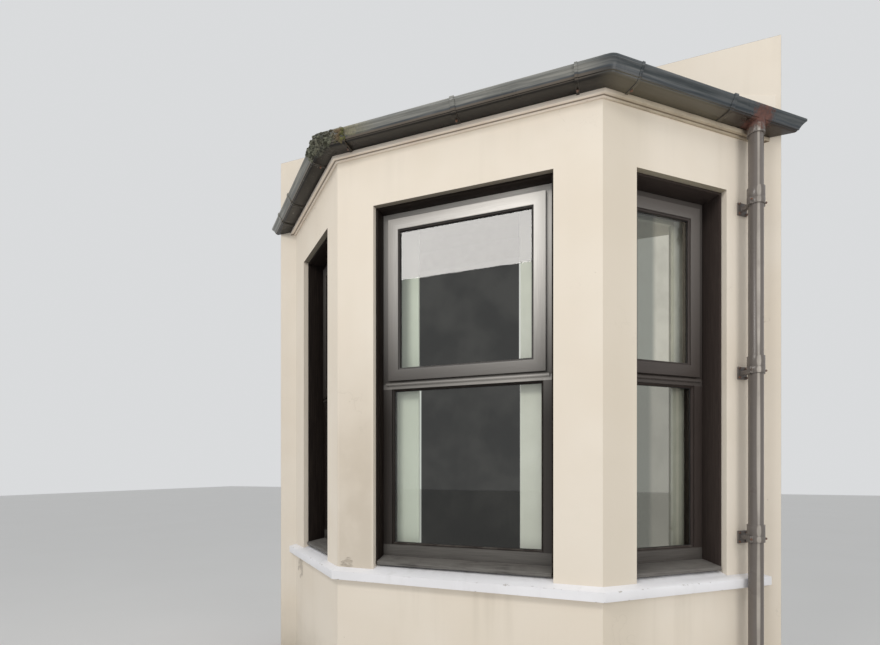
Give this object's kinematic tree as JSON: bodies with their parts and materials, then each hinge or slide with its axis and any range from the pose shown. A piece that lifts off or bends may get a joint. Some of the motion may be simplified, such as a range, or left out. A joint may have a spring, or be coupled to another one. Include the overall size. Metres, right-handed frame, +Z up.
{
  "type": "canted bay window",
  "caption": "Rendered ground-floor canted bay window with dark timber windows, stone sill course, hipped slate roof, moulded iron gutter and downpipe, on a slice of house wall.",
  "frame": {"origin": "ground level on the outer face of the house wall, in the middle of the bay, on the underside of the sleeper wall", "axes": "+Z up, +Y into the house, +X along the house wall, to the right seen from outside"},
  "size_m": [3.3214, 1.076, 3.6243],
  "materials": {
    "render": "painted cement render, matt, slightly stained",
    "sill_stone": "white masonry paint, worn",
    "masonry": "plain brickwork",
    "brown_paint": "dark brown gloss stain, weathered",
    "bare_timber": "sawn softwood",
    "floor_timber": "waxed floor boards",
    "plaster": "matt emulsion on plaster",
    "white_paint": "satin white paint",
    "glass": "clear float glass with grey reflections",
    "slate": "natural slate, matt",
    "lead": "dull weathered lead",
    "iron": "dark grey-black paint, worn, rusty and mossy in places"
  },
  "bodies": {
    "root": {"front_base_wall": "render", "left_base_wall": "render", "right_base_wall": "render", "front_sill": "sill_stone", "left_sill": "sill_stone", "right_sill": "sill_stone", "left_corner_pier": "render", "right_corner_pier": "render", "left_end_pier": "render", "right_end_pier": "render", "front_lintel": "render", "left_lintel": "render", "right_lintel": "render", "left_house_jamb": "render", "right_house_jamb": "render", "opening_beam": "plaster", "house_wall_over": "render", "sleeper_wall": "masonry", "floor_joists": "bare_timber", "floor_boards": "floor_timber", "ceiling": "plaster", "window_boards": "white_paint", "window_linings": "brown_paint", "inner_casings": "white_paint", "front_window_frame": "brown_paint", "left_window_frame": "brown_paint", "right_window_frame": "brown_paint", "front_sash": "brown_paint", "left_sash": "brown_paint", "right_sash": "brown_paint", "front_glass": "glass", "left_glass": "glass", "right_glass": "glass", "eaves_moulding": "render", "fascia_boards": "brown_paint", "roof_rafters": "bare_timber", "front_slates": "slate", "left_slates": "slate", "right_slates": "slate", "hip_rolls": "lead", "wall_flashing": "lead", "front_gutter": "iron", "left_gutter": "iron", "right_gutter": "iron", "gutter_corners": "iron", "gutter_straps": "iron", "gutter_outlet": "iron", "downpipe": "iron", "pipe_brackets": "iron"}
  },
  "joints": []
}
